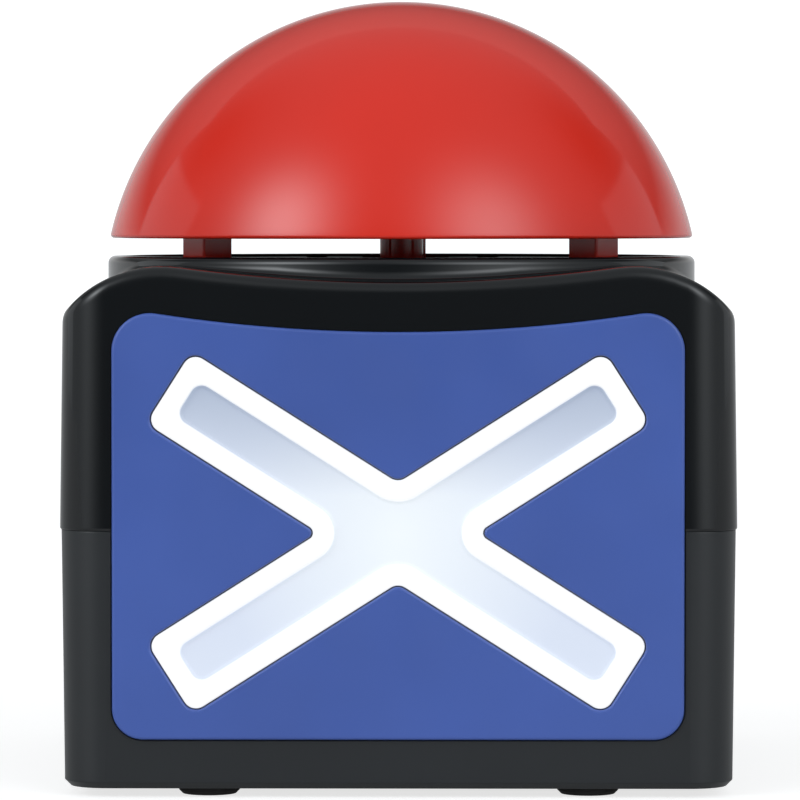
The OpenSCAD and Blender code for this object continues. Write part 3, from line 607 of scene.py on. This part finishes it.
def spring():
    """The return spring: a round wire wound between the floor of its well and the dome's post."""
    turns, coil_r, wire_r, steps, sides = 7, 3.2, 0.4, 28, 12
    wire = arc(coil_r, 0, wire_r, 0, 360, sides)[:-1]
    height = POST_END_Z - 0.1 - WELL_FLOOR_Z - 2 * wire_r
    rings = []
    for i in range(turns * steps + 1):
        t = i / (turns * steps)
        a = 2 * math.pi * turns * t
        z = WELL_FLOOR_Z + wire_r + height * t
        rings.append([(r * math.cos(a), r * math.sin(a), z + h) for r, h in wire])
    s = Solid()
    made = s.skin(rings)
    s.cap(made[0])
    s.cap(made[-1])
    return s.object("wound_spring", ROUND_SMOOTH)


def contact():
    """The silicone switch dome on the main board: a foot, a thin slope and a button on top."""
    top = CONTACT_TOP_Z - BOARD_TOP_Z
    profile = [(0, 2.6), (2.2, 2.6), (3.6, 1.0), (4.2, 0.0), (6.5, 0.0)]
    profile += arc(6.2, 0.7, 0.3, 0, 90, 4) + [(5.0, 1.0), (4.4, 1.3), (3.4, top - 1.8), (3.2, top - 1.3)]
    profile += arc(2.8, top - 0.4, 0.4, 0, 90, 4) + [(0, top)]
    return turned([(r, z + BOARD_TOP_Z) for r, z in profile], 64, "switch_dome")


# ---------------------------------------------------------------- the front
def front_panel():
    """The blue panel: a plate with rounded edges, cut out for the X, and its four rivet pins."""
    hole_r = 0.35
    s = Solid()
    outer = [at_y(panel_outline(0), PANEL_BACK_Y)]
    hole = [at_y(x_outline(X_GAP), PANEL_BACK_Y)]
    for in_share, back_share in quarter_round():
        outer.append(at_y(panel_outline(-PANEL_ROUND * in_share), PANEL_FACE_Y + PANEL_ROUND * back_share))
        hole.append(at_y(x_outline(X_GAP + hole_r * in_share), PANEL_FACE_Y + hole_r * back_share))
    outer.append(at_y(panel_outline(-PANEL_ROUND - 0.4), PANEL_FACE_Y))
    hole.append(at_y(x_outline(X_GAP + hole_r + 0.3), PANEL_FACE_Y))
    outer_rings, hole_rings = s.skin(outer), s.skin(hole)
    s.cap(outer_rings[-1], [hole_rings[-1]])
    s.cap(outer_rings[0], [hole_rings[0]])
    made = s.object("blue_panel", FRONT_SMOOTH)
    for x in (-RIVET_X, RIVET_X):
        for z in RIVET_ZS:
            pin = prism_y(arc(x, z, RIVET_R, 0, 360, 32)[:-1], PANEL_BACK_Y - 0.5, FRONT_IN_Y + 0.6)
            cut(made, [pin], "UNION")
    shade(made, FRONT_SMOOTH)
    return made


def x_lens():
    """The white lens: a raised border round a sunk channel, on a base plate behind the panel."""
    face, back = LENS_LO.y, LENS_HI.y
    floor_y = face + CHANNEL_DEPTH
    plate_y = PANEL_BACK_Y + 0.05
    round_r, edge_r = 0.35, 0.45
    s = Solid()
    rings = [at_y(x_outline(-X_SHY), plate_y)]
    for in_share, back_share in quarter_round():
        rings.append(at_y(x_outline(-X_SHY - round_r * in_share), face + round_r * back_share))
    rings.append(at_y(x_outline(-X_SHY - round_r - 0.3), face))
    rings.append(at_y(channel_outline(edge_r + 0.3), face))
    for in_share, back_share in reversed(quarter_round()):
        rings.append(at_y(channel_outline(edge_r * in_share), face + edge_r * back_share))
    rings += [
        at_y(channel_outline(-grow), y)
        for grow, y in ((0.1, floor_y - 0.25), (0.35, floor_y), (0.7, floor_y))
    ]
    made = s.skin(rings)
    s.cap(made[-1])
    plate_edge = bar_outline(PLATE_HALF_W, PLATE_HALF_H, PLATE_R)
    plate = s.skin([at_y(plate_edge, plate_y), at_y(plate_edge, back)])
    s.cap(plate[0], [made[0]])
    s.cap(plate[1])
    return s.object("lit_cross", FRONT_SMOOTH)


# ---------------------------------------------------------------- materials
GRAIN_DEPTH = 0.00002           # metres
PLASTIC_IOR = 1.5


def material(name):
    """A new material with its node tree and its Principled node."""
    mat = bpy.data.materials.new(name)
    mat.use_nodes = True
    tree = mat.node_tree
    return mat, tree, tree.nodes["Principled BSDF"]


def object_space(tree):
    """The object's own coordinates in metres, whole and split into X, Y and Z."""
    where = tree.nodes.new("ShaderNodeTexCoord").outputs["Object"]
    split = tree.nodes.new("ShaderNodeSeparateXYZ")
    tree.links.new(where, split.inputs["Vector"])
    return where, split.outputs


def noise(tree, scale, detail, roughness=0.5):
    """A noise texture's grey value over the object's own coordinates, its scale in cells per metre."""
    where = tree.nodes.new("ShaderNodeTexCoord")
    node = tree.nodes.new("ShaderNodeTexNoise")
    node.inputs["Scale"].default_value = scale
    node.inputs["Detail"].default_value = detail
    node.inputs["Roughness"].default_value = roughness
    tree.links.new(where.outputs["Object"], node.inputs["Vector"])
    return node.outputs["Fac"]


def spread(tree, source, low, high, start=0.3, end=0.7):
    """A value that goes from low to high as the source goes from start to end, and no further."""
    node = tree.nodes.new("ShaderNodeMapRange")
    node.inputs["From Min"].default_value = start
    node.inputs["From Max"].default_value = end
    node.inputs["To Min"].default_value = low
    node.inputs["To Max"].default_value = high
    tree.links.new(source, node.inputs["Value"])
    return node.outputs["Result"]


def mixed(tree, factor, first, second):
    """Two colours, each a triple or a socket, mixed by a factor."""
    node = tree.nodes.new("ShaderNodeMix")
    node.data_type = "RGBA"
    tree.links.new(factor, node.inputs["Factor"])
    for socket, value in ((node.inputs[6], first), (node.inputs[7], second)):
        if isinstance(value, tuple):
            socket.default_value = (*value, 1)
        else:
            tree.links.new(value, socket)
    return node.outputs[2]


def bump(tree, shader, height, strength, distance, edge=0.0):
    """Bumps a shader by a height; edge is the radius, in millimetres, that sharp edges are softened by."""
    node = tree.nodes.new("ShaderNodeBump")
    if edge:
        soft = tree.nodes.new("ShaderNodeBevel")
        soft.samples = 6
        soft.inputs["Radius"].default_value = edge * MM
        tree.links.new(soft.outputs["Normal"], node.inputs["Normal"])
    node.inputs["Strength"].default_value = strength
    node.inputs["Distance"].default_value = distance
    tree.links.new(height, node.inputs["Height"])
    tree.links.new(node.outputs["Normal"], shader.inputs["Normal"])


def shift(color, share):
    """A colour made darker or lighter."""
    return tuple(min(1.0, max(0.0, c * share)) for c in color)


def plastic(name, color, rough, rough_play=0.03, grain=900.0, strength=0.05, vary=0.06, edge=0.0):
    """Moulded plastic: its colour and its gloss drift a little, and it has a fine grain."""
    mat, tree, shader = material(name)
    drift = spread(tree, noise(tree, 35.0, 2.0), 0, 1)
    shade_out = mixed(tree, drift, shift(color, 1 - vary), shift(color, 1 + vary))
    tree.links.new(shade_out, shader.inputs["Base Color"])
    gloss = noise(tree, 120.0, 4.0)
    tree.links.new(spread(tree, gloss, rough - rough_play, rough + rough_play), shader.inputs["Roughness"])
    bump(tree, shader, noise(tree, grain, 2.0), strength, GRAIN_DEPTH, edge)
    shader.inputs["IOR"].default_value = PLASTIC_IOR
    return mat


def shade_reflections_below(mat, low, high):
    """Weaker reflections on what is below a height: painted shade on the legs in the dome's shadow."""
    tree = mat.node_tree
    shader = tree.nodes["Principled BSDF"]
    axes = object_space(tree)[1]
    level = spread(tree, axes["Z"], 0.12, 0.5, low * MM, high * MM)
    tree.links.new(level, shader.inputs["Specular IOR Level"])


def metal(name, color, rough):
    """Plated or rolled metal with faint marks."""
    mat, tree, shader = material(name)
    drift = spread(tree, noise(tree, 90.0, 4.0), 0, 1)
    tree.links.new(mixed(tree, drift, shift(color, 0.82), shift(color, 1.08)), shader.inputs["Base Color"])
    marks = noise(tree, 600.0, 5.0, roughness=0.7)
    tree.links.new(spread(tree, marks, rough - 0.08, rough + 0.12), shader.inputs["Roughness"])
    bump(tree, shader, marks, 0.15, GRAIN_DEPTH)
    shader.inputs["Metallic"].default_value = 1.0
    return mat


# The X's glow: its border, the channel's middle, its arms' ends, and the upper arms' ends, dimmed there as
# painted shade
GLOW_BORDER = (0.72, 0.72, 0.71)
GLOW_MIDDLE = (0.60, 0.64, 0.66)
GLOW_ARM = (0.40, 0.45, 0.56)
GLOW_SHADED_UPPER_END = (0.15, 0.20, 0.31)
GLOW_REACH = 30.0               # millimetres from the middle to where an arm's glow is weakest


def lens_glow():
    """White plastic lit from behind: strongest on its border, and weakest at the upper arms' ends, where
    painted shade dims it from above.
    """
    mat, tree, shader = material("lit_white")
    shader.inputs["Base Color"].default_value = (0.34, 0.35, 0.37, 1)
    where, axes = object_space(tree)
    face, floor = (LENS_LO.y + 0.3) * MM, (LENS_LO.y + CHANNEL_DEPTH - 0.1) * MM
    depth = spread(tree, axes["Y"], 0.0, 1.0, face, floor)
    # painted shade: the channel's glow dims towards the upper arms' ends
    height = spread(tree, axes["Z"], 0.0, 1.0, (X_MID_Z + 6) * MM, (X_MID_Z + 23) * MM)
    offset = tree.nodes.new("ShaderNodeVectorMath")
    offset.operation = "DISTANCE"
    tree.links.new(where, offset.inputs[0])
    offset.inputs[1].default_value = (0, LENS_LO.y * MM, X_MID_Z * MM)
    away = spread(tree, offset.outputs["Value"], 0.0, 1.0, 0.0, GLOW_REACH * MM)
    channel = mixed(tree, height, mixed(tree, away, GLOW_MIDDLE, GLOW_ARM), GLOW_SHADED_UPPER_END)
    tree.links.new(mixed(tree, depth, GLOW_BORDER, channel), shader.inputs["Emission Color"])
    # no glow behind the channel's floor, so the gap round the X stays dark: painted shade in the gap
    in_front = spread(tree, axes["Y"], 1.0, 0.0, floor + 0.2 * MM, floor + 0.5 * MM)
    tree.links.new(in_front, shader.inputs["Emission Strength"])
    tree.links.new(spread(tree, noise(tree, 45.0, 2.0), 0.3, 0.42), shader.inputs["Roughness"])
    bump(tree, shader, noise(tree, 700.0, 2.0), 0.04, GRAIN_DEPTH)
    return mat


def paint(obj, mat):
    """Gives an object one material."""
    obj.data.materials.clear()
    obj.data.materials.append(mat)


def dress(obj, mat, body, stands_for):
    """Gives a made piece its material and body, and hides the CAD node that it stands for."""
    paint(obj, mat)
    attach(obj, body)
    weigh(obj)
    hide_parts(stands_for)
    return obj


RED = plastic("red_plastic", (0.69, 0.023, 0.010), 0.085, 0.015, 700.0, 0.03, vary=0.03)
BLACK = plastic("gloss_black_plastic", (0.004, 0.005, 0.006), 0.035, 0.01, 700.0, 0.03)
GREY = plastic("satin_grey_plastic", (0.0115, 0.0135, 0.0155), 0.34, 0.025, 2600.0, 0.25, edge=0.4)
BLUE = plastic("satin_blue_plastic", (0.054, 0.106, 0.385), 0.34, 0.04, 2200.0, 0.12)
WHITE = lens_glow()
REFLECTOR = plastic("white_reflector", (0.80, 0.80, 0.78), 0.5)
LED = plastic("led_epoxy", (0.85, 0.86, 0.80), 0.12)
BOARD = plastic("board_lacquer", (0.02, 0.16, 0.05), 0.3, 0.06, 1500.0, 0.1)
CHIP = plastic("chip_resin", (0.012, 0.012, 0.013), 0.55)
SLEEVE = plastic("capacitor_sleeve", (0.01, 0.02, 0.10), 0.3)
RESISTOR = plastic("resistor_body", (0.45, 0.33, 0.18), 0.5)
ZINC = metal("zinc_plate", (0.62, 0.62, 0.60), 0.3)
SPRING = metal("spring_wire", (0.55, 0.55, 0.56), 0.25)
CONTACT = metal("nickel_contact", (0.66, 0.63, 0.56), 0.28)
STEEL = metal("speaker_steel", (0.42, 0.42, 0.43), 0.4)
PAPER = plastic("speaker_paper", (0.02, 0.02, 0.02), 0.85, 0.05, 1800.0, 0.5)
SWITCH = plastic("switch_black", (0.012, 0.012, 0.013), 0.3, edge=0.15)
SILICONE = plastic("silicone_grey", (0.32, 0.33, 0.34), 0.55)
JACKET = plastic("cell_jacket", (0.03, 0.20, 0.10), 0.3)
RUBBER = plastic("rubber", (0.012, 0.012, 0.012), 0.75, 0.08, 2500.0, 0.5, edge=0.3)

NODE_MATERIALS = {
    "lower_shell": GREY, "leg_screws": ZINC, "leg_washers": ZINC, "light_box": REFLECTOR,
    "light_box_screws": ZINC, "led_board": BOARD, "leds": LED, "led_board_screws": ZINC,
    "main_board": BOARD, "board_chip": CHIP, "board_capacitor": SLEEVE, "board_resistors": RESISTOR,
    "board_screws": ZINC,
    "speaker_frame": STEEL, "speaker_cone": PAPER, "speaker_magnet": STEEL, "speaker_screws": ZINC,
    "speaker_washers": ZINC, "switch_case": SWITCH, "switch_clamp_screws": ZINC, "power_knob": SWITCH,
    "battery_cells": JACKET, "battery_plates": CONTACT, "battery_springs": SPRING,
    "battery_door": GREY, "door_screw_left": ZINC, "door_screw_right": ZINC,
    "housing_screws": ZINC, "rubber_feet": RUBBER,
}
for node_name, node_material in NODE_MATERIALS.items():
    paint(nodes[node_name], node_material)
# painted shade: the legs under the dome's rim reflect less
shade_reflections_below(RED, RIM_Z - 2.5, RIM_Z + 0.5)

dress(upper_housing(), BLACK, "housing", "upper_shell")
dress(dome(), RED, "dome", "dome_button")
coil = dress(spring(), SPRING, "housing", "return_spring")
switch_dome = dress(contact(), SILICONE, "housing", "contact_dome")
for piece, foot_z, height, squeeze in (
    (coil, WELL_FLOOR_Z, POST_END_Z - WELL_FLOOR_Z, PRESS),
    (switch_dome, BOARD_TOP_Z, CONTACT_TOP_Z - BOARD_TOP_Z, CONTACT_PRESS),
):
    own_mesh(piece)
dress(front_panel(), BLUE, "housing", "front_panel")
dress(x_lens(), WHITE, "housing", "x_lens")


# ---------------------------------------------------------------- stage
def math_node(tree, operation, *values):
    """A math node over sockets and numbers."""
    node = tree.nodes.new("ShaderNodeMath")
    node.operation = operation
    for i, value in enumerate(values):
        if isinstance(value, (int, float)):
            node.inputs[i].default_value = value
        else:
            tree.links.new(value, node.inputs[i])
    return node.outputs[0]


def between(tree, factor, first, second):
    """A value that goes from the first to the second socket with a factor."""
    rest = math_node(tree, "MULTIPLY", first, math_node(tree, "SUBTRACT", 1.0, factor))
    return math_node(tree, "ADD", rest, math_node(tree, "MULTIPLY", second, factor))


def seen_or_lit(tree, seen, lit):
    """One strength for what the background looks like, and another for the light that it gives."""
    path = tree.nodes.new("ShaderNodeLightPath")
    return spread(tree, path.outputs["Is Camera Ray"], lit, seen, 0.0, 1.0)


def seen_over(tree, lit, seen):
    """As seen_or_lit, where the light that it gives comes from other nodes."""
    path = tree.nodes.new("ShaderNodeLightPath").outputs["Is Camera Ray"]
    lit_part = math_node(tree, "MULTIPLY", lit, math_node(tree, "SUBTRACT", 1.0, path))
    return math_node(tree, "ADD", lit_part, math_node(tree, "MULTIPLY", path, seen))


def direction(azimuth, elevation):
    """A unit vector: azimuth 0 is in front and positive to the right."""
    a, e = math.radians(azimuth), math.radians(elevation)
    return Vector((math.sin(a) * math.cos(e), -math.cos(a) * math.cos(e), math.sin(e)))


def lobe(tree, where, azimuth, elevation, width, strength):
    """A soft round lamp far away: its strength falls off smoothly from its middle."""
    dot = tree.nodes.new("ShaderNodeVectorMath")
    dot.operation = "DOT_PRODUCT"
    tree.links.new(where, dot.inputs[0])
    dot.inputs[1].default_value = direction(azimuth, elevation)
    sharp = 1 / math.radians(width) ** 2
    power = math_node(tree, "MULTIPLY", math_node(tree, "SUBTRACT", dot.outputs["Value"], 1.0), sharp)
    return math_node(tree, "MULTIPLY", math_node(tree, "EXPONENT", power), strength)


def studio_floor():
    """A pale sweep: a floor that curves up behind the object."""
    s = Solid()
    # the bend is beyond where a camera stands in a view from behind
    half_w, front_y, bend_y, bend_r, wall_top = 3200.0, -640.0, 1400.0, 1000.0, 3000.0
    section = [(front_y, 0.0), (0.0, 0.0), (bend_y, 0.0)]
    section += [(bend_y + y, bend_r + z) for y, z in arc(0, 0, bend_r, -84, 0, 14)]
    section += [(bend_y + bend_r, wall_top)]
    rows = [s.ring([(-half_w, y, z), (half_w, y, z)]) for y, z in section]
    for a, b in zip(rows, rows[1:]):
        s.bm.faces.new([a[0], a[1], b[1], b[0]])
    made = s.object("studio_sweep", ROUND_SMOOTH)
    mat, tree, shader = material("pale_sweep")
    axes = object_space(tree)[1]
    risen = spread(tree, axes["Z"], 0.0, 1.0, 0.0, 0.5)
    tree.links.new(mixed(tree, risen, (0.42, 0.42, 0.42), (0.04, 0.04, 0.04)), shader.inputs["Base Color"])
    shader.inputs["Roughness"].default_value = 0.8
    shader.inputs["Emission Color"].default_value = (1, 1, 1, 1)
    floor_light = seen_or_lit(tree, seen=0.74, lit=0.16)
    low_part = spread(tree, axes["Z"], 0.60, 0.10, 0.40, 1.10)
    high_part = spread(tree, axes["Z"], 0.0, 0.34, 1.20, 3.00)
    wall_light = seen_over(tree, math_node(tree, "ADD", low_part, high_part), seen=1.0)
    tree.links.new(between(tree, risen, floor_light, wall_light), shader.inputs["Emission Strength"])
    paint(made, mat)


def softbox(tree, where, azimuth, elevation, half_w, half_h, strength):
    """A flat lamp far away with firm edges, its half sizes in degrees."""
    ahead = direction(azimuth, elevation)
    across = direction(azimuth + 90, 0)
    masks = []
    for axis, half in ((across, half_w), (ahead.cross(across), half_h)):
        dots = []
        for along in (axis, ahead):
            dot = tree.nodes.new("ShaderNodeVectorMath")
            dot.operation = "DOT_PRODUCT"
            tree.links.new(where, dot.inputs[0])
            dot.inputs[1].default_value = along
            dots.append(dot.outputs["Value"])
        slope = math_node(tree, "DIVIDE", dots[0], math_node(tree, "MAXIMUM", dots[1], 0.01))
        edge = math.tan(math.radians(half))
        masks.append(spread(tree, math_node(tree, "ABSOLUTE", slope), 1.0, 0.0, edge * 0.93, edge * 1.07))
    return math_node(tree, "MULTIPLY", math_node(tree, "MULTIPLY", masks[0], masks[1]), strength)


SKY = 0.55
LEAST_SKY = 0.02
DAYLIGHT = (0.95, 1.0, 1.035)   # what lights the object
WHITE_LIGHT = (1.0, 1.0, 1.0)   # what the camera sees behind it
# Azimuth, with 0 in front and positive to the right; elevation; width or half sizes, in degrees; strength
SOFT_LIGHTS = (
    (0, -4, 26, -0.45),         # the dark room behind the camera
    (180, 0, 45, -0.25),        # the far side, which the dome's and shell's edges reflect
    (114, 37, 13, -0.36), (-114, 37, 13, -0.32),
    (-50, 27, 12, 4.7), (37, 26, 14, 3.2),
)
FLAT_LIGHTS = ((116, 13, 20, 14, 0.30), (-118, 13, 22, 14, 0.34))


def studio_light():
    """A plain pale studio: an even sky with dark gaps, two broad soft lamps and two flat side ones."""
    world = bpy.data.worlds.new("studio")
    bpy.context.scene.world = world
    world.use_nodes = True
    tree = world.node_tree
    back = tree.nodes["Background"]
    where = tree.nodes.new("ShaderNodeTexCoord").outputs["Generated"]
    total = SKY
    for light in SOFT_LIGHTS:
        total = math_node(tree, "ADD", total, lobe(tree, where, *light))
    for light in FLAT_LIGHTS:
        total = math_node(tree, "ADD", total, softbox(tree, where, *light))
    total = math_node(tree, "MAXIMUM", total, LEAST_SKY)
    tree.links.new(seen_over(tree, total, seen=1.0), back.inputs["Strength"])
    seen = tree.nodes.new("ShaderNodeLightPath").outputs["Is Camera Ray"]
    tree.links.new(mixed(tree, seen, DAYLIGHT, WHITE_LIGHT), back.inputs["Color"])


def studio_camera():
    """The photograph's view: a long lens, a little right of the middle and just above the dome's rim."""
    data = bpy.data.cameras.new("camera")
    data.sensor_width = 36.0
    data.lens = 235.14
    data.clip_start, data.clip_end = 0.05, 20
    made = bpy.data.objects.new("camera", data)
    bpy.context.scene.collection.objects.link(made)
    made.location = (0.0094, -0.9, 0.09475)
    aim = Vector((-0.00026, 0.0, 0.0628))
    made.rotation_euler = (aim - made.location).to_track_quat("-Z", "Y").to_euler()
    bpy.context.scene.camera = made


studio_floor()
studio_light()
studio_camera()
bpy.context.scene.view_settings.view_transform = "Standard"
